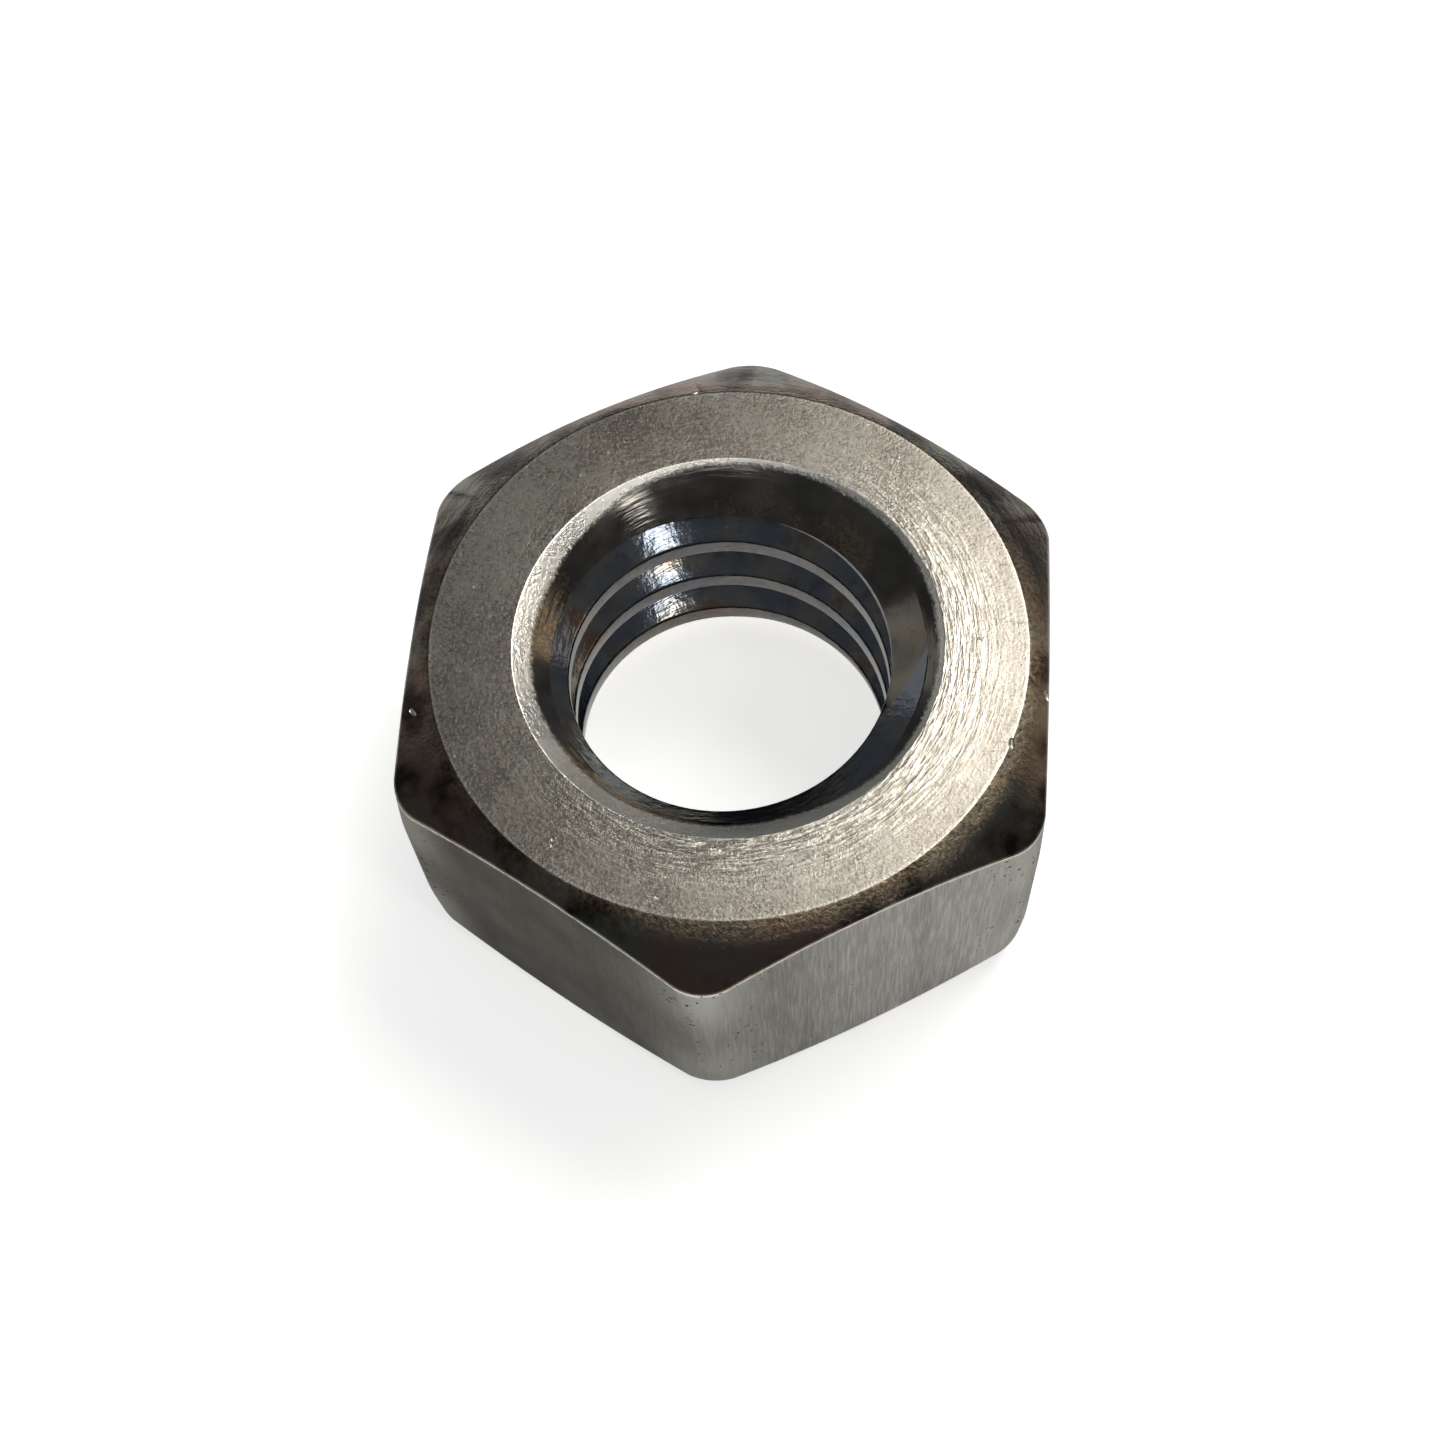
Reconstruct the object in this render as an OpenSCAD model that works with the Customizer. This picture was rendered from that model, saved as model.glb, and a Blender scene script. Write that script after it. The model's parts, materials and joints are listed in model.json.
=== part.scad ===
// Hex nut, double chamfered and countersunk, with a right-hand 60 degree thread.
// The thread axis is Z, the lower bearing face is at Z = 0, and two flats face +X and -X.
// All sizes are in millimetres and degrees.

/* [Hexagon] */
// Distance between two opposite flats
across_flats = 12.7; // [10:0.1:40]
// Height between the two bearing faces
nut_height = 6.75; // [3:0.05:30]
// How far the edge of the flat ring on each face lies inside the flats
bearing_margin = 0.406; // [0.1:0.001:1.5]
// Slope of the outer chamfers, measured from the bearing face
chamfer_angle = 30; // [15:1:40]
// How far each corner is cut back where it meets the chamfer
corner_relief = 0.2; // [0.15:0.01:0.7]
// Height over which that cut runs out
corner_runout = 1.97; // [0.3:0.01:3]
// How far the corners are cut back at mid height
corner_flat = 0.09; // [0.01:0.01:0.14]

/* [Thread] */
// Major diameter, over the roots of the thread
thread_d = 7.94; // [3:0.01:10.8]
// Distance from one crest to the next
thread_pitch = 1.41; // [0.5:0.01:3]
// Angle between the two flanks
thread_angle = 60; // [55:1:60]
// Extra bore diameter over the basic minor diameter
crest_opening = 0.126; // [0:0.001:0.35]
// Angle around the axis at which a crest crosses mid height
crest_angle = 66; // [0:1:359]

/* [Countersinks] */
// How much wider the upper mouth is than the roots of the thread, on each side
mouth_margin = 0.306; // [0.1:0.001:1.2]
// Width of the rolled lip at the upper mouth
lip_width = 0.35; // [0.1:0.01:0.6]
// Depth of the rolled lip
lip_depth = 0.21; // [0.1:0.01:0.4]
// Angle between the wall of the upper countersink and the axis
countersink_angle = 54; // [30:1:65]
// How much wider the lower mouth is than the roots of the thread, on each side
lower_mouth_margin = 0.48; // [0.1:0.001:1.2]
// Angle between the wall of the lower countersink and the axis
lower_countersink_angle = 32; // [25:1:60]

/* [Hidden] */
flats = 6;
half_turn = 180;
full_turn = 360;
// smoothness of the turned surfaces
$fn = 96;

// sharp corner circle, and the circles that the corners are cut back to
corner_r = across_flats / 2 / cos(half_turn / flats);
corner_flat_r = corner_r - corner_flat;
relief_r = corner_r - corner_relief;
bearing_r = across_flats / 2 - bearing_margin;
chamfer_depth = (relief_r - bearing_r) * tan(chamfer_angle);
// the cut runs out before mid height, even on a thin nut
longest_runout = nut_height * 9 / 20;
runout_depth = min(chamfer_depth + corner_runout, longest_runout);

// thread form: a sharp triangle with an eighth of the pitch flat at the root
flank_run = tan(thread_angle / 2);
sharp_depth = thread_pitch / 2 / flank_run;
root_flat = thread_pitch / 8;
basic_minor_d = thread_d - 2 * sharp_depth * 5 / 8;
bore_d = basic_minor_d + crest_opening;
thread_r = thread_d / 2;
bore_r = bore_d / 2;

// the groove cutter starts inside the bore, so that the crests stay parts of a true cylinder
cutter_inset = thread_pitch / 6;
cutter_r = bore_r - cutter_inset;
cutter_half_width = root_flat / 2 + (thread_r - cutter_r) * flank_run;
turn_steps = 48;
cutter_turns = ceil(nut_height / thread_pitch) + 2;
cutter_steps = turn_steps * cutter_turns;
// the groove runs half a pitch above the crest that crosses mid height at the crest angle
cutter_from_z = nut_height / 2 + thread_pitch / 2 - thread_pitch * cutter_turns / 2;

// countersink radii and depths
mouth_r = thread_r + mouth_margin;
lip_r = mouth_r - lip_width;
sink_depth = lip_depth + (lip_r - bore_r) / tan(countersink_angle);
lower_mouth_r = thread_r + lower_mouth_margin;
lower_sink_depth = (lower_mouth_r - bore_r) / tan(lower_countersink_angle);

// how far the cutters reach past the faces
over = thread_pitch / 4;

// Outline of the turned blank: bearing rings, chamfers and the relieved corners
module blank_outline() {
    polygon([
        [0, 0],
        [bearing_r, 0],
        [relief_r, chamfer_depth],
        [corner_flat_r, runout_depth],
        [corner_flat_r, nut_height - runout_depth],
        [relief_r, nut_height - chamfer_depth],
        [bearing_r, nut_height],
        [0, nut_height],
    ]);
}

// Solid blank with six flats, both ends chamfered
module blank() {
    intersection() {
        rotate([0, 0, half_turn / flats])
            cylinder(h = nut_height, r = corner_r, $fn = flats);
        rotate_extrude() blank_outline();
    }
}

// Upper countersink, with its mouth at Z = 0
module upper_countersink() {
    rotate_extrude()
        polygon([
            [0, -sink_depth],
            [bore_r, -sink_depth],
            [lip_r, -lip_depth],
            [mouth_r, 0],
            [mouth_r, over],
            [0, over],
        ]);
}

// Lower countersink, deeper and without a lip, with its mouth at Z = 0
module lower_countersink() {
    rotate_extrude()
        polygon([
            [0, lower_sink_depth],
            [bore_r, lower_sink_depth],
            [lower_mouth_r, 0],
            [lower_mouth_r, -over],
            [0, -over],
        ]);
}

// Plain bore through the nut, whose wall becomes the crests of the thread
module bore_cutter() {
    translate([0, 0, -over])
        cylinder(h = nut_height + 2 * over, r = bore_r);
}

// One corner of the groove cutter, at step number i around the helix
function cutter_point(i, r, half_width) =
    let (turned = full_turn * i / turn_steps - half_turn * cutter_turns + crest_angle)
    [
        r * cos(turned),
        r * sin(turned),
        cutter_from_z + thread_pitch * i / turn_steps + half_width,
    ];

// The four corners of the groove section at one step
function cutter_section(i) = [
    cutter_point(i, cutter_r, -cutter_half_width),
    cutter_point(i, thread_r, -root_flat / 2),
    cutter_point(i, thread_r, root_flat / 2),
    cutter_point(i, cutter_r, cutter_half_width),
];

// Helical groove cutter, longer than the nut at both ends
module groove_cutter() {
    corners = 4;
    points = [for (i = [0:cutter_steps]) each cutter_section(i)];
    sides = [
        for (i = [0:cutter_steps - 1], k = [0:corners - 1])
            let (
                a = i * corners + k,
                b = i * corners + (k + 1) % corners,
                c = a + corners,
                d = b + corners
            )
            each [[a, b, d], [a, d, c]]
    ];
    first_cap = [[for (k = [0:corners - 1]) corners - 1 - k]];
    last_cap = [[for (k = [0:corners - 1]) cutter_steps * corners + k]];
    polyhedron(points = points, faces = concat(first_cap, sides, last_cap), convexity = 10);
}

// The finished nut, one piece of metal
module hex_nut() {
    color([0.62, 0.61, 0.58])
        difference() {
            blank();
            bore_cutter();
            translate([0, 0, nut_height]) upper_countersink();
            lower_countersink();
            groove_cutter();
        }
}

hex_nut();
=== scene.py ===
"""Hex nut: its turned, drawn and tapped steel surfaces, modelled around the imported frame."""

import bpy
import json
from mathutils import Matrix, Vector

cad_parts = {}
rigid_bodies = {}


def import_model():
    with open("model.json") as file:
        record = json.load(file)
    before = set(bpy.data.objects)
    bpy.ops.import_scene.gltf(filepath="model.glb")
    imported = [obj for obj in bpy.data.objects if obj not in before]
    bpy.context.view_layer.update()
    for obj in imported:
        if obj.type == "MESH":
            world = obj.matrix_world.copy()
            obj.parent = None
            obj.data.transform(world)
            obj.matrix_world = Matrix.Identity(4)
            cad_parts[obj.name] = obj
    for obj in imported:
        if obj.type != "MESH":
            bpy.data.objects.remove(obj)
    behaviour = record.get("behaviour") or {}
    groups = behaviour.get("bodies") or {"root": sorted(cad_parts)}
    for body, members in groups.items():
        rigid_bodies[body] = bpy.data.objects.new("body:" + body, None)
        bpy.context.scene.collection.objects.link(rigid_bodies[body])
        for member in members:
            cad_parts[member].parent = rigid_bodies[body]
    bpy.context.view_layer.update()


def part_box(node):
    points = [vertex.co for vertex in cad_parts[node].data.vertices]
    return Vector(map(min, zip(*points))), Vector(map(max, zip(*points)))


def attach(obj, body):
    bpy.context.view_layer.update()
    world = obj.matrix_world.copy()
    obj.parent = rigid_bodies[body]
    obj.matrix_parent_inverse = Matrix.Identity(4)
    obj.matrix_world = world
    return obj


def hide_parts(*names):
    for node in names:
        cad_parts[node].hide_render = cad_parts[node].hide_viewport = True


bl_info = {
    "name": "Hex nut",
    "version": (1, 0, 0),
    "blender": (4, 5, 0),
    "location": "3D View > Sidebar > Hex nut",
    "description": "Models a steel hex nut with a tapped thread, and a plain studio around it",
    "category": "Add Mesh",
}

import json
from functools import partial
from math import atan2, cos, floor, pi, radians, sin, sqrt, tan

import bmesh
import bpy
from bpy.props import FloatProperty, FloatVectorProperty, IntProperty, PointerProperty
from mathutils import Matrix, Vector

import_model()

NODE = "hex_nut"
MM = 0.001
FLATS = 6
# settings that many nodes of the materials share
SMOOTH = {"interpolation_type": "SMOOTHSTEP"}
COLOURS = {"data_type": "RGBA"}

# the CAD node's box gives the distance across flats and the height
LOW, HIGH = (Vector(corner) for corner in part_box(NODE))
ACROSS_FLATS = HIGH.x - LOW.x
HEIGHT = HIGH.z - LOW.z


class NutSizes(bpy.types.PropertyGroup):
    """Sizes of the nut, in metres and radians."""

    across_flats: FloatProperty(
        name="Across flats",
        description="Distance between two opposite flats",
        default=ACROSS_FLATS,
        unit="LENGTH",
    )
    height: FloatProperty(
        name="Height",
        description="Distance between the bearing faces",
        default=HEIGHT,
        unit="LENGTH",
    )
    bearing_diameter: FloatProperty(
        name="Bearing diameter",
        description="Outer edge of the flat ring on each face",
        default=ACROSS_FLATS - 2 * 0.406 * MM,
        unit="LENGTH",
    )
    chamfer_angle: FloatProperty(
        name="Chamfer angle",
        description="Slope of the outer chamfer from the bearing face",
        default=radians(30),
        subtype="ANGLE",
    )
    corner_radius: FloatProperty(
        name="Corner radius",
        description="Rounding between neighbouring flats at mid height",
        default=0.62 * MM,
        unit="LENGTH",
    )
    upset_radius: FloatProperty(
        name="Upset corner radius",
        description="Wider rounding of the corners next to the chamfers",
        default=1.35 * MM,
        unit="LENGTH",
    )
    upset_run: FloatProperty(
        name="Upset run",
        description="Height over which a corner's rounding narrows",
        default=2.0 * MM,
        unit="LENGTH",
    )
    major_diameter: FloatProperty(
        name="Major diameter",
        description="Diameter over the roots of the thread",
        default=7.94 * MM,
        unit="LENGTH",
    )
    minor_diameter: FloatProperty(
        name="Minor diameter",
        description="Diameter inside the crests of the thread",
        default=6.54 * MM,
        unit="LENGTH",
    )
    pitch: FloatProperty(
        name="Pitch",
        description="Distance from one crest to the next",
        default=1.41 * MM,
        unit="LENGTH",
    )
    crest_angle: FloatProperty(
        name="Crest angle",
        description="Angle around the axis at which a crest crosses mid height",
        default=radians(66),
        subtype="ANGLE",
    )
    mouth_diameter: FloatProperty(
        name="Mouth diameter",
        description="Diameter of the countersink at the bearing face",
        default=8.552 * MM,
        unit="LENGTH",
    )
    lip_width: FloatProperty(
        name="Lip width",
        description="Width of the rolled lip inside the mouth",
        default=0.35 * MM,
        unit="LENGTH",
    )
    lip_depth: FloatProperty(
        name="Lip depth",
        description="Depth of the rolled lip below the face",
        default=0.21 * MM,
        unit="LENGTH",
    )
    sink_angle: FloatProperty(
        name="Countersink angle",
        description="Angle between the wall of the upper countersink and the axis",
        default=radians(54),
        subtype="ANGLE",
    )
    lower_mouth_diameter: FloatProperty(
        name="Lower mouth diameter",
        description="Diameter of the lower countersink at its face",
        default=8.9 * MM,
        unit="LENGTH",
    )
    lower_sink_angle: FloatProperty(
        name="Lower countersink angle",
        description="Angle between the wall of the lower countersink and the axis",
        default=radians(32),
        subtype="ANGLE",
    )
    edge_break: FloatProperty(
        name="Edge break",
        description="Width of the tumbled edges around the flats",
        default=0.07 * MM,
        unit="LENGTH",
    )
    turned_steps: IntProperty(
        name="Turned steps",
        description="Steps around the turned surfaces and each turn of thread",
        default=96,
        min=48,
        max=288,
    )


# name, direction, distance and width in metres, brightness, colour
LAMPS = (
    ("key", (0.29, 0.41, 0.85), 0.25, 0.11, 7.0, "#fffdf8"),
    ("overhead", (0.05, -0.16, 1.0), 0.3, 0.14, 1.3, "#ffffff"),
    ("side", (0.86, 0.36, 0.3), 0.25, 0.12, 0.8, "#ffecd2"),
    ("far side", (-0.85, 0.42, 0.3), 0.25, 0.12, 0.5, "#f6f2ec"),
    ("window", (0.47, -0.33, 0.82), 0.25, 0.032, 9.0, "#ffffff"),
)


# dents from the tumbling barrel: degrees around the axis, distance outside the bearing ring,
# height and size in millimetres
NICKS = (
    (-19, 0.02, 6.78, 0.13),
    (-7, 0.42, 6.53, 0.1),
    (101, 0.02, 6.79, 0.11),
    (197, 0.42, 6.54, 0.1),
    (151, 1.2, 0.74, 0.14),
    (-64, 0.04, -0.03, 0.12),
    (32, 1.21, 3.1, 0.1),
)


class StudioLook(bpy.types.PropertyGroup):
    """Camera, floor and lights."""

    azimuth: FloatProperty(
        name="Azimuth", description="Camera angle around the nut", default=0.15969, subtype="ANGLE"
    )
    elevation: FloatProperty(
        name="Elevation",
        description="Camera angle above the floor",
        default=1.10390,
        subtype="ANGLE",
    )
    roll: FloatProperty(
        name="Roll",
        description="Camera tilt about its own axis",
        default=-0.08983,
        subtype="ANGLE",
    )
    distance: FloatProperty(
        name="Distance",
        description="From the camera to its aim",
        default=44.673 * MM,
        unit="LENGTH",
    )
    aim: FloatVectorProperty(
        name="Aim",
        description="Point that the camera looks at",
        default=(-0.2198 * MM, -0.1511 * MM, 3.375 * MM),
        subtype="XYZ",
        unit="LENGTH",
    )
    lens: FloatProperty(name="Lens", description="Focal length in millimetres", default=52.64)
    floor_colour: FloatVectorProperty(
        name="Floor colour",
        description="Pale floor",
        default=(0.86, 0.86, 0.85),
        subtype="COLOR",
    )
    floor_glow: FloatProperty(
        name="Floor glow",
        description="Light that the floor gives off, where 1 is white",
        default=0.76,
    )
    room_glow: FloatProperty(
        name="Room glow", description="Brightness of the room around the table", default=0.16
    )


# --- small helpers -----------------------------------------------------------------------------


def linear(hex_colour):
    """Turns an sRGB hex colour into linear red, green, blue and alpha."""
    digits = hex_colour.lstrip("#")
    channels = [int(digits[i : i + 2], 16) / 255 for i in (0, 2, 4)]
    return [c / 12.92 if c <= 0.04045 else ((c + 0.055) / 1.055) ** 2.4 for c in channels] + [1.0]


def only(obj):
    """Leaves one object selected and active."""
    for other in bpy.context.view_layer.objects:
        other.select_set(other == obj)
    bpy.context.view_layer.objects.active = obj


def edit(obj, mode="VERT"):
    """Opens one object in edit mode with everything in it selected."""
    only(obj)
    bpy.ops.object.mode_set(mode="EDIT")
    bpy.ops.mesh.select_mode(type=mode)
    bpy.ops.mesh.select_all(action="SELECT")


def done_editing():
    bpy.ops.object.mode_set(mode="OBJECT")


def select_parts(obj, parts, wanted):
    """Selects the verts, edges or faces of the object in edit mode for which wanted is true."""
    bpy.ops.mesh.select_mode(type={"verts": "VERT", "edges": "EDGE", "faces": "FACE"}[parts])
    bpy.ops.mesh.select_all(action="DESELECT")
    mesh = bmesh.from_edit_mesh(obj.data)
    found = [part for part in getattr(mesh, parts) if wanted(part)]
    for part in found:
        part.select = True
    mesh.select_flush(True)
    bmesh.update_edit_mesh(obj.data)
    return len(found)


def finish_modifier(obj, kind, name, **settings):
    """Adds a modifier with its settings and applies it."""
    only(obj)
    modifier = obj.modifiers.new(name, kind)
    for key, value in settings.items():
        setattr(modifier, key, value)
    bpy.ops.object.modifier_apply(modifier=modifier.name)


def combine(obj, tool, operation):
    """Cuts an object with a tool, or keeps what lies inside it, and takes the tool away."""
    finish_modifier(obj, "BOOLEAN", tool.name, operation=operation, object=tool, solver="EXACT")
    bpy.data.objects.remove(tool)


def close_up(obj, merge_distance):
    """Merges doubles and turns every face outwards."""
    edit(obj)
    bpy.ops.mesh.remove_doubles(threshold=merge_distance)
    bpy.ops.mesh.select_all(action="SELECT")
    bpy.ops.mesh.normals_make_consistent(inside=False)
    done_editing()


def rounded(corners):
    """Points of an outline in radius and height, from corners as (radius, height, rounding)."""
    points = []
    for i, (r, z, rounding) in enumerate(corners):
        here = Vector((r, z))
        if not rounding:
            points.append(here)
            continue
        before = (Vector(corners[i - 1][:2]) - here).normalized()
        after = (Vector(corners[(i + 1) % len(corners)][:2]) - here).normalized()
        half = before.angle(after) / 2
        reach = rounding / tan(half)
        centre = here + (before + after).normalized() * rounding / sin(half)
        start, end = here + before * reach - centre, here + after * reach - centre
        turn = start.angle_signed(end)
        steps = max(3, round(abs(turn) / radians(12)))
        for k in range(steps + 1):
            spin = Matrix.Rotation(-turn * k / steps, 2)
            points.append(centre + spin @ start)
    return points


def draw_outline(name, points, closed):
    """Draws a chain of edges in the XZ plane, starting from a plane merged to a single point."""
    first = Vector((points[0][0], 0, points[0][1]))
    bpy.ops.object.select_all(action="DESELECT")
    bpy.ops.mesh.primitive_plane_add(size=MM, location=(0, 0, 0))
    obj = bpy.context.active_object
    obj.name = obj.data.name = name
    edit(obj)
    bpy.ops.mesh.merge(type="CENTER")
    bpy.ops.transform.translate(value=first)
    here = first
    for r, z in points[1:]:
        there = Vector((r, 0, z))
        bpy.ops.mesh.extrude_vertices_move(TRANSFORM_OT_translate={"value": there - here})
        here = there
    if closed:
        mesh = bmesh.from_edit_mesh(obj.data)
        mesh.verts.ensure_lookup_table()
        ends = [v for v in mesh.verts if len(v.link_edges) == 1]
        for v in mesh.verts:
            v.select = v in ends
        mesh.select_flush(True)
        bmesh.update_edit_mesh(obj.data)
        bpy.ops.mesh.edge_face_add()
    done_editing()
    return obj


# --- materials ---------------------------------------------------------------------------------


def add_node(tree, kind, *sockets, out=0, **named):
    """Adds a shader node and returns one of its outputs.

    Lower-case names are the node's settings. The rest are the sockets it shows, in order or by
    name, each given a value, a hex colour or another node's output.
    """
    node = tree.nodes.new("ShaderNode" + kind)
    for key in [name for name in named if name.islower()]:
        setattr(node, key, named.pop(key))
    shown = [socket for socket in node.inputs if socket.enabled]
    by_name = {socket.name.replace(" ", "_"): socket for socket in shown}
    pairs = [*zip(shown, sockets), *((by_name[name], source) for name, source in named.items())]
    for socket, source in pairs:
        if isinstance(source, bpy.types.NodeSocket):
            tree.links.new(source, socket)
        else:
            socket.default_value = linear(source) if isinstance(source, str) else source
    return [socket for socket in node.outputs if socket.enabled][out]


def new_steel(name):
    """A material, the function that adds a node to it, and a surface point's place in mm."""
    material = bpy.data.materials.new(name)
    material.use_nodes = True
    material.node_tree.nodes.clear()
    add = partial(add_node, material.node_tree)
    objects_own = 3
    place = add("TexCoord", out=objects_own)
    return material, add, add("VectorMath", place, 1 / MM, operation="SCALE")


def finish_steel(material, add, tone, roughness, height, depth, glare="#ffffff"):
    """Joins a steel's colour, roughness and relief, where a height of 1 is depth millimetres.

    glare is how much of the mirror-like shine at low angles is left.
    """
    normal = add("Bump", Strength=1.0, Distance=depth * MM, Height=height)
    shader = add(
        "BsdfPrincipled",
        Base_Color=tone,
        Metallic=1.0,
        Roughness=roughness,
        Normal=normal,
        Specular_Tint=glare,
    )
    add_node(material.node_tree, "OutputMaterial", shader, out=slice(0, 0))
    return material


def total(add, *parts):
    """Adds up (weight, output) pairs and plain numbers."""
    result = sum(part for part in parts if not isinstance(part, tuple))
    for weight, output in (part for part in parts if isinstance(part, tuple)):
        result = add("Math", output, weight, result, operation="MULTIPLY_ADD")
    return result


def cylindrical(add, place):
    """Distance from the axis, height and direction from the axis of a place."""
    level = add("VectorMath", place, (1, 1, 0), operation="MULTIPLY")
    radius = add("VectorMath", level, operation="LENGTH")
    around = add("VectorMath", level, operation="NORMALIZE")
    return radius, add("SeparateXYZ", place, out=2), around


def turned_place(add, around, across, stretch):
    """Coordinates in which noise becomes tool marks around the axis, each stretch times as long."""
    run = add("VectorMath", around, 5 / stretch, operation="SCALE")
    return add("VectorMath", run, add("CombineXYZ", 0, 0, across), operation="ADD")


def turned_face(s):
    """Stainless steel, faced off on the lathe and then tumbled.

    It gives the eye a dull grainy ring with a fine sparkle, faint turning rings near the
    countersink, turning rings painted bright on the right-hand side where the lamps fall as a
    painted sheen, and a few bright scratches.
    """
    material, add, place = new_steel("Stainless steel, turned and tumbled")
    radius, _, around = cylindrical(add, place)
    grain = add("TexNoise", place, Scale=1 / 0.06, Detail=3, Roughness=0.7)
    pebble = add("TexNoise", place, 3, 1 / 0.2, noise_dimensions="4D")
    cloud = add("TexNoise", place, 7, 1 / 1.6, 3, noise_dimensions="4D")
    rings = add("TexNoise", turned_place(add, around, radius, 9), 1 / 0.06, 2, 0.7)
    wide_rings = add("TexNoise", turned_place(add, around, radius, 30), 1 / 0.22, 1)
    # the turning rings stay near the countersink and are tumbled away further out; on the
    # right-hand side, towards the lamps, they are also kept and painted bright, a painted sheen
    mouth, edge = s.mouth_diameter / 2 / MM, s.bearing_diameter / 2 / MM
    near_mouth = add("MapRange", radius, mouth, mouth + 1.5, 1.0, 0.15, **SMOOTH)
    side = add("VectorMath", around, (0.8, -0.6, 0), operation="DOT_PRODUCT")
    lit_sector = add("MapRange", side, -0.6, 0.7, 0.15, 1.0, **SMOOTH)
    kept_and_lit_rings = add("Math", near_mouth, lit_sector, operation="MULTIPLY")
    # scratches: short stretches of the thin middle line of a stretched noise
    slanted = add("Mapping", place, Rotation=(0, 0, radians(55)), Scale=(1, 7, 1))
    off_line = add("Math", add("TexNoise", slanted, Scale=1 / 1.1), 0.5, operation="SUBTRACT")
    on_line = add("MapRange", add("Math", off_line, operation="ABSOLUTE"), 0, 0.012, 1, 0, **SMOOTH)
    where = add("TexNoise", place, 9, 1 / 0.6, noise_dimensions="4D")
    here = add("MapRange", where, 0.6, 0.68, **SMOOTH)
    scratch = add("Math", on_line, here, operation="MULTIPLY")
    rubbed = add("MapRange", radius, edge - 0.1, edge, 0, 0.35, **SMOOTH)

    # painted sheen: the kept rings are painted light, most of all on the right-hand side towards
    # the lamps
    ring_tone = add("Math", add("MapRange", rings, 0.45, 0.65), kept_and_lit_rings, operation="MULTIPLY")
    tone = add("Mix", add("MapRange", cloud, 0.35, 0.65), "#7c756c", "#938e85", **COLOURS)
    tone = add("Mix", add("MapRange", grain, 0.36, 0.7, 0.0, 0.55), tone, "#b9b2a6", **COLOURS)
    tone = add("Mix", add("MapRange", pebble, 0.52, 0.7, 0.0, 0.15), tone, "#57504a", **COLOURS)
    tone = add("Mix", ring_tone, tone, "#cfcbc0", **COLOURS)
    bright = add("Math", rubbed, scratch, operation="MAXIMUM")
    tone = add("Mix", bright, tone, "#e2ded4", **COLOURS)
    roughness = total(add, 0.12, (0.12, cloud), (0.2, grain), (-0.05, kept_and_lit_rings))
    cut_rings = total(add, (1.0, rings), (0.9, wide_rings))
    cut = add("Math", cut_rings, kept_and_lit_rings, operation="MULTIPLY")
    height = total(add, (0.8, grain), (0.35, pebble), (2.2, cut), (-0.8, scratch))
    return finish_steel(material, add, tone, roughness, height, 0.0075)


def chamfer(s):
    """Stainless steel, pressed against a polished die.

    It gives the eye a smooth dark surface with brown and olive films left by the drawing oil,
    and a rubbed band just outside the bearing face whose grain is painted with light brown
    glints, strongest on the front-right side where the lamps fall: a painted glint.
    """
    material, add, place = new_steel("Stainless steel, pressed chamfer")
    radius, _, around = cylindrical(add, place)
    film = add("TexNoise", place, 1, 1 / 2.2, 3, noise_dimensions="4D")
    oil = add("TexNoise", place, 8, 1 / 1.1, 4, noise_dimensions="4D")
    grain = add("TexNoise", place, Scale=1 / 0.09, Detail=3, Roughness=0.65)
    flow = add("TexNoise", turned_place(add, around, radius, 4), 1 / 0.35)
    edge = s.bearing_diameter / 2 / MM
    uneven = total(add, (1.0, radius), (0.5, oil))
    rubbed = add("MapRange", uneven, edge + 0.2, edge + 0.75, 1, 0, **SMOOTH)
    # painted glint: the rubbed band is kept strongest on the front-right side, towards the lamps,
    # and its grain is painted light brown
    towards_lamps = add("VectorMath", around, (0.7, -0.7, 0), operation="DOT_PRODUCT")
    rubbed = add("Math", rubbed, add("MapRange", towards_lamps, 0.2, 0.9, 0.25, 1.0), operation="MULTIPLY")
    sparkle = add("Math", rubbed, add("MapRange", grain, 0.35, 0.7), operation="MULTIPLY")

    tone = add("Mix", add("MapRange", film, 0.38, 0.62), "#6c5b52", "#61625a", **COLOURS)
    tone = add("Mix", add("MapRange", oil, 0.47, 0.6), tone, "#2c2523", **COLOURS)
    tone = add("Mix", sparkle, tone, "#b59f80", **COLOURS)
    roughness = total(add, 0.05, (0.25, oil), (0.12, grain), (0.12, rubbed))
    height = total(add, (0.9, flow), (0.3, grain), (0.6, sparkle))
    return finish_steel(material, add, tone, roughness, height, 0.02)


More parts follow.
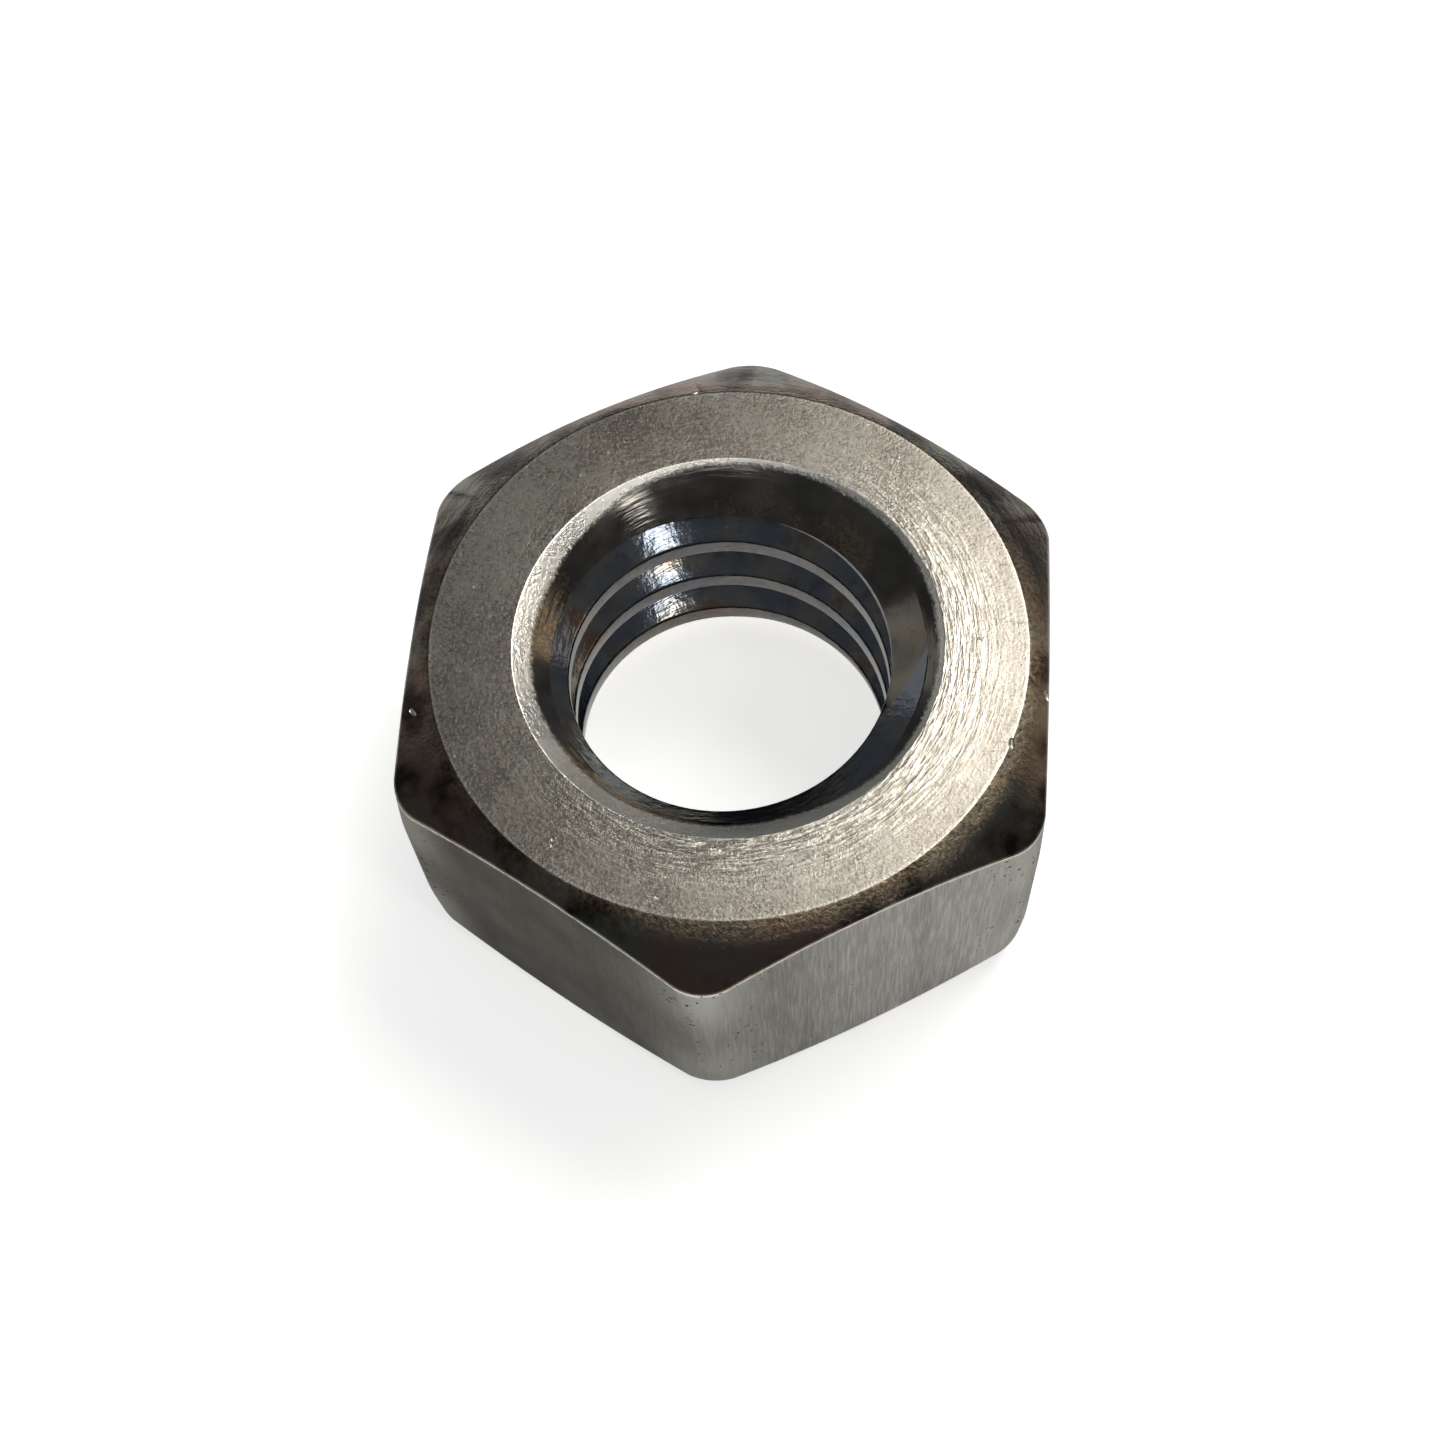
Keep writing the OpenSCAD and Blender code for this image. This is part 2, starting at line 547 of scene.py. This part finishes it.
def flats(s):
    """Stainless steel, cold drawn through a hexagonal die.

    It gives the eye a satin grey with fine lines along the axis, painted lighter and with brighter
    lines on the right-hand side, where the lamps fall, as painted light; small dark pits where the
    metal tore near the corners, corners scraped lighter, and a thin bright worn line where a flat
    meets the chamfer. A film of oxide and dirt takes away the glare that clean steel has at low
    angles.
    """
    material, add, place = new_steel("Stainless steel, cold drawn")
    radius, height, around = cylindrical(add, place)
    # painted light: the flats on the right-hand side, where the lamps fall, are painted lighter and
    # more lined, and those on the left darker
    towards_lamps = add("VectorMath", around, (0.94, 0.34, 0), operation="DOT_PRODUCT")
    side = add("MapRange", towards_lamps, -0.75, 0.3, 0, 1, **SMOOTH)
    along = add("Mapping", place, Scale=(1, 1, 0.05))
    lines = add("TexNoise", along, Scale=1 / 0.05, Detail=2, Roughness=0.7)
    bands = add("TexNoise", along, 4, 1 / 0.5, 1, noise_dimensions="4D")
    satin = add("TexNoise", place, Scale=1 / 0.05)
    cloud = add("TexNoise", place, 2, 1 / 1.5, noise_dimensions="4D")
    # pits: the cores of small cells, larger and closer together near the corners
    corner = s.across_flats / 2 / cos(pi / FLATS) / MM
    patch = add("MapRange", add("TexNoise", place, Scale=1 / 0.9), 0.46, 0.62, **SMOOTH)
    near_corner = add("MapRange", radius, corner - 0.7, corner - 0.15, 0, 1, **SMOOTH)
    torn = total(add, -0.45, (1.0, patch), (0.75, near_corner))
    wander = add("TexNoise", place, Scale=1 / 0.07, Detail=2, out=1)
    wander = add("VectorMath", wander, 0.16, operation="SCALE")
    ragged = add("VectorMath", place, wander, operation="ADD")
    cells = add("TexVoronoi", add("Mapping", ragged, Scale=(0.7, 0.7, 1)), Scale=1 / 0.13)
    pit_size = add("MapRange", torn, 0, 1, 0.0, 0.27)
    pit = add("MapRange", add("Math", pit_size, cells, operation="SUBTRACT"), 0, 0.08, **SMOOTH)
    # how far a point lies below the cone of the nearer chamfer
    slope = tan(s.chamfer_angle)
    cone_height = (s.height / 2 + s.bearing_diameter / 2 * slope) / MM
    from_middle = add("Math", height, s.height / 2 / MM, operation="SUBTRACT")
    from_middle = add("Math", from_middle, operation="ABSOLUTE")
    frayed = add("TexNoise", place, Scale=1 / 0.18, Detail=3, Roughness=0.7)
    below = total(add, cone_height, (-slope, radius), (-1.0, from_middle), (0.22, frayed))
    worn = add("MapRange", below, 0.12, 0.26, 1, 0, **SMOOTH)
    scraped = add("MapRange", below, 0.9, 2.6, 0.6, 0.2, **SMOOTH)
    scraped = add("Math", scraped, near_corner, operation="MULTIPLY")
    lit_lines = add("Math", add("MapRange", lines, 0.42, 0.7, 0.0, 0.8), side, operation="MULTIPLY")

    tone = add("Mix", add("MapRange", cloud, 0.35, 0.65), "#6f6d68", "#7b7974", **COLOURS)
    # painted light: the right-hand flats are painted lighter and their lines brighter, where the
    # lamps fall
    tone = add("Mix", add("Math", side, 0.8, operation="MULTIPLY"), tone, "#a9a8a3", **COLOURS)
    tone = add("Mix", add("Math", lit_lines, 0.6, operation="MULTIPLY"), tone, "#cfcec9", **COLOURS)
    tone = add("Mix", add("MapRange", bands, 0.45, 0.7, 0.0, 0.2), tone, "#5f5d59", **COLOURS)
    tone = add("Mix", scraped, tone, "#bab8b2", **COLOURS)
    tone = add("Mix", worn, tone, "#cfcdc5", **COLOURS)
    tone = add("Mix", pit, tone, "#2a2521", **COLOURS)
    roughness = total(add, 0.22, (0.15, lines), (0.2, satin), (0.35, pit), (-0.1, worn))
    relief = total(add, (0.6, lit_lines), (0.2, lines), (0.3, bands), (0.15, satin), (-1.2, pit))
    return finish_steel(material, add, tone, roughness, relief, 0.006, glare="#8a8a8a")


def countersink(s):
    """Stainless steel, bright cut with a countersink.

    It gives the eye a dark mirror-like cone with fine rings, brown tints where the cut ran hot,
    and a ragged light burr around the mouth, painted wider and whiter on the front-left side
    where the lip faces the key lamp, a painted highlight.
    """
    material, add, place = new_steel("Stainless steel, cut countersink")
    radius, height, around = cylindrical(add, place)
    rings = add("TexNoise", turned_place(add, around, height, 20), 1 / 0.05, 2, 0.6)
    chatter = add("TexNoise", turned_place(add, around, height, 3), 1 / 0.4)
    cloud = add("TexNoise", place, 3, 1 / 1.3, 3, noise_dimensions="4D")
    grain = add("TexNoise", place, Scale=1 / 0.08, Detail=3, Roughness=0.7)
    lip = (s.mouth_diameter / 2 - s.lip_width) / MM
    # the ragged light burr is real, and is painted widest on the front-left, where the lip faces
    # the key lamp, a painted highlight; on the back-right side it is only a thin line
    far = add("VectorMath", around, (0.75, 0.66, 0), operation="DOT_PRODUCT")
    bare = add("MapRange", far, -0.5, 0.5, 0, 0.25, **SMOOTH)
    ragged = total(add, (1.0, radius), (0.16, grain), (0.1, cloud), (-1.0, bare), -0.09)
    burr_and_highlight = add("MapRange", ragged, lip - 0.02, lip + 0.08, **SMOOTH)
    hot = add("MapRange", cloud, 0.5, 0.65, **SMOOTH)
    warm = add("Math", hot, add("MapRange", grain, 0.45, 0.6, **SMOOTH), operation="MULTIPLY")
    rough_burr = add("Math", grain, burr_and_highlight, operation="MULTIPLY")

    tone = add("Mix", add("MapRange", chatter, 0.35, 0.65), "#5c5853", "#75716a", **COLOURS)
    tone = add("Mix", warm, tone, "#8f7a62", **COLOURS)
    # painted highlight: the light burr is painted widest and whitest on the front-left, where the
    # lip faces the key lamp
    tone = add("Mix", burr_and_highlight, tone, "#ebe7dd", **COLOURS)
    roughness = total(add, 0.02, (0.22, chatter), (0.14, burr_and_highlight))
    relief = total(add, (0.25, rings), (0.35, chatter), (0.9, rough_burr))
    return finish_steel(material, add, tone, roughness, relief, 0.015)


def thread(s):
    """Stainless steel, tapped.

    It gives the eye bright flanks with fine marks along the groove, blue-grey and brown patches
    of dried cutting oil, and lighter, slightly torn crests.
    """
    material, add, place = new_steel("Stainless steel, tapped thread")
    radius, height, around = cylindrical(add, place)
    marks = add("TexNoise", turned_place(add, around, height, 14), 1 / 0.05, 2, 0.7)
    tears = add("TexNoise", turned_place(add, around, height, 2), 1 / 0.25, 3, 0.7)
    oil = add("TexNoise", place, 6, 1 / 1.2, 3, noise_dimensions="4D")
    crest = s.minor_diameter / 2 / MM
    torn_radius = total(add, (1.0, radius), (0.08, tears))
    land = add("MapRange", torn_radius, crest + 0.02, crest + 0.08, 1, 0, **SMOOTH)
    marked_land = add("Math", marks, land, operation="MULTIPLY")

    tone = add("Mix", add("MapRange", oil, 0.42, 0.6), "#6d737b", "#8a867f", **COLOURS)
    tone = add("Mix", add("MapRange", oil, 0.58, 0.72), tone, "#7c5c45", **COLOURS)
    tone = add("Mix", add("MapRange", tears, 0.5, 0.75, 0.0, 0.6), tone, "#4a4846", **COLOURS)
    tone = add("Mix", land, tone, "#52504d", **COLOURS)
    roughness = total(add, 0.03, (0.22, tears), (0.1, land))
    relief = total(add, (0.25, marks), (0.4, tears), (0.2, marked_land))
    return finish_steel(material, add, tone, roughness, relief, 0.02)


FINISHES = {make.__name__: make for make in (turned_face, chamfer, flats, countersink, thread)}
SLOTS = list(FINISHES)


# --- the nut -----------------------------------------------------------------------------------


def blank_corners(s):
    """Corners of the blank's half section: (radius, height, rounding)."""
    outer_r = s.across_flats / 2 / cos(pi / FLATS) + 0.2 * MM
    bearing_r = s.bearing_diameter / 2
    chamfer_depth = (outer_r - bearing_r) * tan(s.chamfer_angle)
    core_r = s.minor_diameter / 2 - 0.3 * MM
    lower_mouth_r = s.lower_mouth_diameter / 2
    upper_mouth_r = s.mouth_diameter / 2
    lip_r = upper_mouth_r - s.lip_width
    lip_z = s.height - s.lip_depth
    return [
        (core_r, (lower_mouth_r - core_r) / tan(s.lower_sink_angle), 0),
        (lower_mouth_r, 0, 0.06 * MM),
        (bearing_r, 0, 0.12 * MM),
        (outer_r, chamfer_depth, 0),
        (outer_r, s.height - chamfer_depth, 0),
        (bearing_r, s.height, 0.12 * MM),
        (upper_mouth_r, s.height, 0.06 * MM),
        (lip_r, lip_z, 0.12 * MM),
        (core_r, lip_z - (lip_r - core_r) / tan(s.sink_angle), 0),
    ]


def make_blank(s):
    """Spins the nut's half section into a round blank, with every turned surface."""
    blank = draw_outline("nut_blank", rounded(blank_corners(s)), closed=True)
    edit(blank)
    bpy.ops.mesh.spin(
        steps=s.turned_steps, angle=2 * pi, center=(0, 0, 0), axis=(0, 0, 1), dupli=False
    )
    done_editing()
    close_up(blank, 0.0005 * MM)
    for make in FINISHES.values():
        blank.data.materials.append(make(s))
    name_turned_faces(blank, s)
    return blank


def name_turned_faces(blank, s):
    """Gives each turned surface its finish, by its slope and place."""
    edit(blank, "FACE")
    mouth_r = s.lower_mouth_diameter / 2
    mesh = bmesh.from_edit_mesh(blank.data)
    for face in mesh.faces:
        middle = face.calc_center_median()
        r = sqrt(middle.x**2 + middle.y**2)
        outward = (face.normal.x * middle.x + face.normal.y * middle.y) / r
        if abs(face.normal.z) > 0.97:
            finish = "turned_face"
        elif r < mouth_r + 0.05 * MM and outward < 0:
            finish = "countersink"
        else:
            finish = "chamfer"
        face.material_index = SLOTS.index(finish)
    bmesh.update_edit_mesh(blank.data)
    done_editing()


def give_finish(obj, materials, finish):
    """Gives an object all of the nut's materials, with every face in one of them."""
    for material in materials:
        obj.data.materials.append(material)
    edit(obj, "FACE")
    obj.active_material_index = SLOTS.index(finish)
    bpy.ops.object.material_slot_assign()
    done_editing()


def make_die(s, materials):
    """The hexagonal die that shapes the flats: its corners are rounder towards both ends."""
    sharp_r = s.across_flats / 2 / cos(pi / FLATS)
    bpy.ops.object.select_all(action="DESELECT")
    bpy.ops.mesh.primitive_cylinder_add(
        vertices=FLATS, radius=sharp_r, depth=s.height + 4 * MM, location=(0, 0, s.height / 2)
    )
    die = bpy.context.active_object
    die.name = die.data.name = "die"
    bpy.ops.object.transform_apply(location=True, rotation=False, scale=False)
    edit(die, "EDGE")
    select_parts(die, "edges", lambda edge: abs(edge.verts[0].co.z - edge.verts[1].co.z) > s.height)
    tangent = s.upset_radius * tan(pi / FLATS)
    arc_steps = 10
    bpy.ops.mesh.bevel(offset=tangent, offset_type="OFFSET", segments=arc_steps, affect="EDGES")
    # rings where the rounding narrows, then each ring's corners are drawn out towards sharp ones
    upset_rise = s.height / 2 - s.edge_break
    plain_rise = upset_rise - s.upset_run
    steps = 8
    rises = [plain_rise + s.upset_run * k / steps for k in range(steps)]
    for rise in (*rises, *(-rise for rise in rises)):
        bpy.ops.mesh.select_all(action="SELECT")
        bpy.ops.mesh.bisect(
            plane_co=(0, 0, s.height / 2 + rise), plane_no=(0, 0, 1), threshold=0.0001 * MM
        )
    for k, rise in enumerate(rises):
        share = k / steps
        share = share * share * (3 - 2 * share)
        radius = s.corner_radius + (s.upset_radius - s.corner_radius) * share
        narrowed = radius / s.upset_radius
        for corner in range(FLATS):
            angle = pi / 2 + 2 * pi * corner / FLATS
            tip = Vector((sharp_r * cos(angle), sharp_r * sin(angle), s.height / 2))
            # a little more than the rounding, and well short of the next corner
            reach = 1.2 * tangent

            def on_ring(vert):
                level = abs(abs(vert.co.z - tip.z) - rise) < 0.001 * MM
                return level and (vert.co.xy - tip.xy).length < reach

            select_parts(die, "verts", on_ring)
            bpy.ops.transform.resize(value=(narrowed, narrowed, 1), center_override=tip)
    done_editing()
    give_finish(die, materials, "flats")
    return die


def plain_flats(nut):
    """Makes each flat a single face, without the lines that the rings around the die left."""
    drawn = SLOTS.index("flats")

    def is_flat(face):
        sixths = atan2(face.normal.y, face.normal.x) * FLATS / (2 * pi)
        squareness = 0.0005
        return face.material_index == drawn and abs(sixths - round(sixths)) < squareness

    edit(nut, "FACE")
    if select_parts(nut, "faces", is_flat) < FLATS:
        raise RuntimeError("the flats were not found")
    bpy.ops.mesh.dissolve_limited(angle_limit=radians(0.05))
    done_editing()


def break_edges(nut, s):
    """Rounds the edge between the drawn flats and the turned chamfers."""
    drawn = SLOTS.index("flats")

    def is_edge(edge):
        sides = {face.material_index == drawn for face in edge.link_faces}
        far_out = min(vert.co.xy.length for vert in edge.verts) > s.bearing_diameter / 2
        return len(sides) == 2 and far_out

    edit(nut, "EDGE")
    if select_parts(nut, "edges", is_edge) < 2 * FLATS:
        raise RuntimeError("the edges around the flats were not found")
    bpy.ops.mesh.bevel(
        offset=s.edge_break, offset_type="OFFSET", segments=3, affect="EDGES", loop_slide=False
    )
    done_editing()


def tap_corners(s):
    """One pitch of the thread form, from the middle of one crest to the middle of the next."""
    minor_r, major_r = s.minor_diameter / 2, s.major_diameter / 2
    root_half = s.pitch / 16
    groove_half = root_half + (major_r - minor_r) * tan(pi / 6)
    middle = s.pitch / 2
    return [
        (minor_r, 0, 0),
        (minor_r, middle - groove_half, 0.1 * MM),
        (major_r, middle - root_half, 0.08 * MM),
        (major_r, middle + root_half, 0.08 * MM),
        (minor_r, middle + groove_half, 0.1 * MM),
        (minor_r, s.pitch, 0),
    ]


def make_tap(s, materials):
    """Sweeps the thread form up a helix and squares off both ends, as a tool to cut the thread."""
    tap = draw_outline("thread_tap", rounded(tap_corners(s)), closed=False)
    turns = floor(s.height / s.pitch) + 6
    edit(tap)
    # a crest has to cross mid height at the crest angle
    middle_turn = turns // 2 - 1
    bpy.ops.transform.translate(value=(0, 0, s.height / 2 - middle_turn * s.pitch))
    done_editing()
    finish_modifier(
        tap,
        "SCREW",
        "helix",
        angle=2 * pi,
        screw_offset=s.pitch,
        iterations=turns,
        steps=s.turned_steps,
        render_steps=s.turned_steps,
        use_merge_vertices=True,
        merge_threshold=0.0005 * MM,
        axis="Z",
    )
    edit(tap)
    # each turn of the helix only meets the next one once their shared crests are merged
    bpy.ops.mesh.remove_doubles(threshold=0.0005 * MM)
    bpy.ops.transform.rotate(value=-s.crest_angle, orient_axis="Z", center_override=(0, 0, 0))
    past = 0.6 * MM
    for height, up in ((s.height + past, 1), (-past, -1)):
        bpy.ops.mesh.select_all(action="SELECT")
        bpy.ops.mesh.bisect(
            plane_co=(0, 0, height),
            plane_no=(0, 0, up),
            use_fill=True,
            clear_outer=True,
            threshold=0.0001 * MM,
        )
    done_editing()
    close_up(tap, 0.0005 * MM)
    give_finish(tap, materials, "thread")
    return tap


def cut_nick(nut, s, angle, inset, height, size):
    """Dents an edge with a small flattened ball, laid along the edge."""
    radius = s.bearing_diameter / 2 + inset
    bpy.ops.object.select_all(action="DESELECT")
    bpy.ops.mesh.primitive_ico_sphere_add(
        subdivisions=3,
        radius=size,
        location=(radius * cos(angle), radius * sin(angle), height),
        rotation=(radians(20), radians(-30), angle + radians(15)),
        scale=(0.7, 1.3, 0.6),
    )
    ball = bpy.context.active_object
    ball.name = ball.data.name = "nick"
    give_finish(ball, nut.data.materials, "turned_face")
    combine(nut, ball, "DIFFERENCE")


class HEXNUT_OT_nut(bpy.types.Operator):
    """Model the nut: turn the blank, mill its flats and tap its thread"""

    bl_idname = "hexnut.nut"
    bl_label = "Hex nut"

    def execute(self, context):
        s = context.scene.nut_sizes
        nut = make_blank(s)
        tap = make_tap(s, nut.data.materials)
        combine(nut, tap, "DIFFERENCE")
        die = make_die(s, nut.data.materials)
        combine(nut, die, "INTERSECT")
        close_up(nut, 0.003 * MM)
        plain_flats(nut)
        break_edges(nut, s)
        for degrees, inset, height, size in NICKS:
            cut_nick(nut, s, radians(degrees), inset * MM, height * MM, size * MM)
        close_up(nut, 0.0005 * MM)
        nut.name = nut.data.name = "nut"
        only(nut)
        bpy.ops.object.shade_smooth_by_angle(angle=radians(35))
        finish_modifier(nut, "WEIGHTED_NORMAL", "even shading", keep_sharp=True)
        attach(nut, "root")
        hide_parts(NODE)
        return {"FINISHED"}


# --- the studio --------------------------------------------------------------------------------


class HEXNUT_OT_studio(bpy.types.Operator):
    """Set up the pale floor, the soft lights and the camera"""

    bl_idname = "hexnut.studio"
    bl_label = "Studio"

    def execute(self, context):
        look = context.scene.studio_look
        bpy.ops.object.select_all(action="DESELECT")
        bpy.ops.mesh.primitive_plane_add(size=1.5, location=(0, 0, -0.002 * MM))
        ground = context.active_object
        ground.name = ground.data.name = "floor"
        ground.data.materials.append(self.paper(look))
        self.surroundings(context, look)
        for name, towards, apart, size, glow, colour in LAMPS:
            self.lamp(name, Vector(towards).normalized() * apart, size, glow, colour)
        self.camera(context, look)
        return {"FINISHED"}

    def paper(self, look):
        """Matt white film on a light table: evenly pale, with faint shadows."""
        paint = bpy.data.materials.new("Light table film, matt white")
        paint.use_nodes = True
        shader = paint.node_tree.nodes["Principled BSDF"]
        shader.inputs["Base Color"].default_value = (*look.floor_colour, 1)
        shader.inputs["Roughness"].default_value = 0.9
        shader.inputs["Specular IOR Level"].default_value = 0.0
        shader.inputs["Emission Color"].default_value = (*look.floor_colour, 1)
        shader.inputs["Emission Strength"].default_value = look.floor_glow
        return paint

    def surroundings(self, context, look):
        """A dim room: the steel needs something dark to mirror."""
        world = bpy.data.worlds.new("Dim studio")
        context.scene.world = world
        world.use_nodes = True
        back = world.node_tree.nodes["Background"]
        back.inputs["Color"].default_value = linear("#e9eef4")
        back.inputs["Strength"].default_value = look.room_glow

    def lamp(self, name, place, size, glow, colour):
        """A square softbox that faces the nut. glow is its brightness, where white paper is 1."""
        bpy.ops.object.light_add(type="AREA", location=place)
        box = bpy.context.active_object
        box.name = box.data.name = name
        box.data.shape = "SQUARE"
        box.data.size = size
        box.data.color = linear(colour)[:3]
        box.data.energy = glow * pi * size**2
        box.rotation_euler = place.to_track_quat("Z", "Y").to_euler()

    def camera(self, context, look):
        back = Vector(
            (
                sin(look.azimuth) * cos(look.elevation),
                -cos(look.azimuth) * cos(look.elevation),
                sin(look.elevation),
            )
        )
        place = Vector(look.aim) + back * look.distance
        bpy.ops.object.camera_add(location=place)
        camera = context.active_object
        turn = back.to_track_quat("Z", "Y").to_matrix() @ Matrix.Rotation(look.roll, 3, "Z")
        camera.rotation_euler = turn.to_euler()
        camera.data.lens = look.lens
        camera.data.clip_start = MM
        camera.data.clip_end = 10
        context.scene.camera = camera
        context.scene.view_settings.view_transform = "Standard"


class HEXNUT_PT_panel(bpy.types.Panel):
    """Lists the pieces and the studio"""

    bl_label = "Hex nut"
    bl_idname = "HEXNUT_PT_panel"
    bl_space_type = "VIEW_3D"
    bl_region_type = "UI"
    bl_category = "Hex nut"

    def draw(self, context):
        for group in (context.scene.nut_sizes, context.scene.studio_look):
            box = self.layout.box()
            for key in group.__annotations__:
                box.prop(group, key)
        for operator in OPERATORS:
            self.layout.operator(operator.bl_idname)


OPERATORS = (HEXNUT_OT_studio, HEXNUT_OT_nut)
CLASSES = (NutSizes, StudioLook, *OPERATORS, HEXNUT_PT_panel)


def register():
    for cls in CLASSES:
        bpy.utils.register_class(cls)
    bpy.types.Scene.nut_sizes = PointerProperty(type=NutSizes)
    bpy.types.Scene.studio_look = PointerProperty(type=StudioLook)


def unregister():
    del bpy.types.Scene.nut_sizes
    del bpy.types.Scene.studio_look
    for cls in reversed(CLASSES):
        bpy.utils.unregister_class(cls)


def main():
    register()
    bpy.ops.hexnut.studio()
    bpy.ops.hexnut.nut()


if __name__ == "__main__":
    main()
